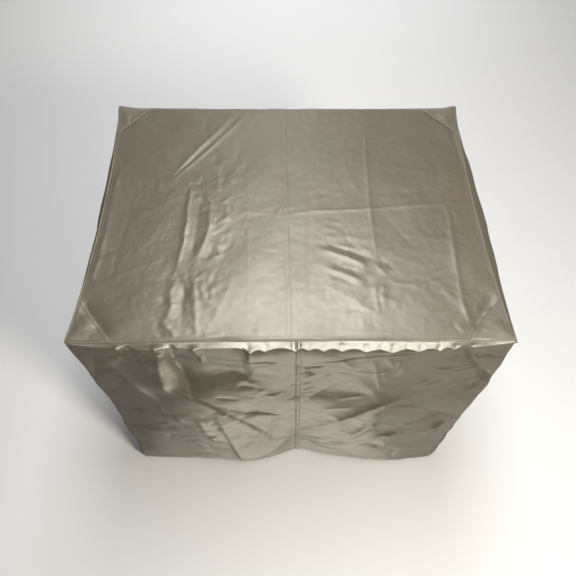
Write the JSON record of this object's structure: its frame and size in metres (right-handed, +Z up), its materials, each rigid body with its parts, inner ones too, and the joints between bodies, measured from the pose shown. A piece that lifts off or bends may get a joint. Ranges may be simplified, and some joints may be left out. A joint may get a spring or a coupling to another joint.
{
  "type": "fire pit cover",
  "caption": "Fitted box-shaped cover of coated cloth for a fire pit table: flat top with corner patches, middle seam and loose hanging skirt with a turned hem.",
  "frame": {"origin": "middle of the underside of the top, where the cloth lies on the fire pit", "axes": "+X to the right along the cover's width, +Y to the back, +Z up"},
  "size_m": [0.7743, 0.6111, 0.6504],
  "materials": {
    "cloth": "satin coated polyester, taupe",
    "binding": "folded binding tape",
    "patch": "satin coated polyester, taupe"
  },
  "bodies": {
    "root": {"top_left": "cloth", "top_right": "cloth", "skirt_left": "cloth", "skirt_right": "cloth", "edge_binding": "binding", "patch_front_left": "patch", "patch_front_right": "patch", "patch_back_left": "patch", "patch_back_right": "patch"}
  },
  "joints": []
}
